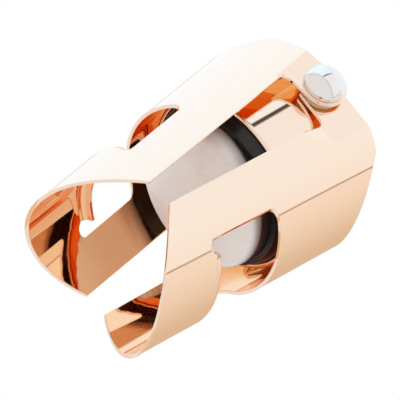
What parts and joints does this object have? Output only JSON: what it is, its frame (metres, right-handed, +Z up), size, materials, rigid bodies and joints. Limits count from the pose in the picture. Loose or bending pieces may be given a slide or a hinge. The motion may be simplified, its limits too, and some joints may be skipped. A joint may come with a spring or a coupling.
{
  "type": "sparkling wine bottle stopper",
  "caption": "Rose-gold bottle stopper: a cap with a sprung sealing plug, and hinged wings whose hooks catch under the ring of a sparkling-wine bottle's neck.",
  "frame": {"origin": "centre of the sealing plug's flat end face, on the bottle's axis, with the plug relaxed", "axes": "+Z up the bottle's axis towards the closed end of the cap; Y along the two rivets, with -Y at the front; +X towards the right wing"},
  "size_m": [0.0375, 0.0416, 0.0515],
  "materials": {
    "wing_plate": "steel sheet, rose-gold plated and mirror polished",
    "cap_plate": "deep-drawn steel, rose-gold plated and polished",
    "liner_plastic": "black moulded plastic",
    "gasket_rubber": "black rubber with a soft sheen",
    "core_plastic": "natural white moulded plastic",
    "boot_silicone": "translucent white silicone, satin",
    "spring_steel": "bright spring steel",
    "washer_steel": "plain steel",
    "rivet_chrome": "bright chrome-plated steel",
    "nylon": "natural nylon"
  },
  "bodies": {
    "cap": {"cap_shell": "cap_plate", "cap_liner": "liner_plastic", "gasket_ring": "gasket_rubber", "plug_spring": "spring_steel", "front_rivet": "rivet_chrome", "back_rivet": "rivet_chrome", "front_head_washer": "washer_steel", "back_head_washer": "washer_steel", "front_ear_washer": "nylon", "back_ear_washer": "nylon", "front_spacer": "nylon", "back_spacer": "nylon", "front_tail_washer": "washer_steel", "back_tail_washer": "washer_steel"},
    "left_wing": {"wing_left": "wing_plate"},
    "right_wing": {"wing_right": "wing_plate"},
    "plug": {"plug_core": "core_plastic", "seal_boot": "boot_silicone", "spring_seat": "washer_steel", "retaining_clip": "spring_steel"}
  },
  "joints": [
    {"name": "left_wing_hinge", "type": "hinge", "parent": "cap", "child": "left_wing", "pos_m": [0, 0, 0.0222], "axis": [0, 1, 0], "range_deg": [0, 68]},
    {"name": "right_wing_hinge", "type": "hinge", "parent": "cap", "child": "right_wing", "pos_m": [0, 0, 0.0222], "axis": [0, -1, 0], "range_deg": [-4.5, 64]},
    {"name": "plug_slide", "type": "slide", "parent": "cap", "child": "plug", "axis": [0, 0, 1], "range_m": [0, 0.0025], "stiffness_N_per_m": 2500, "springref_m": -0.004, "deforming": ["plug_spring"]}
  ]
}
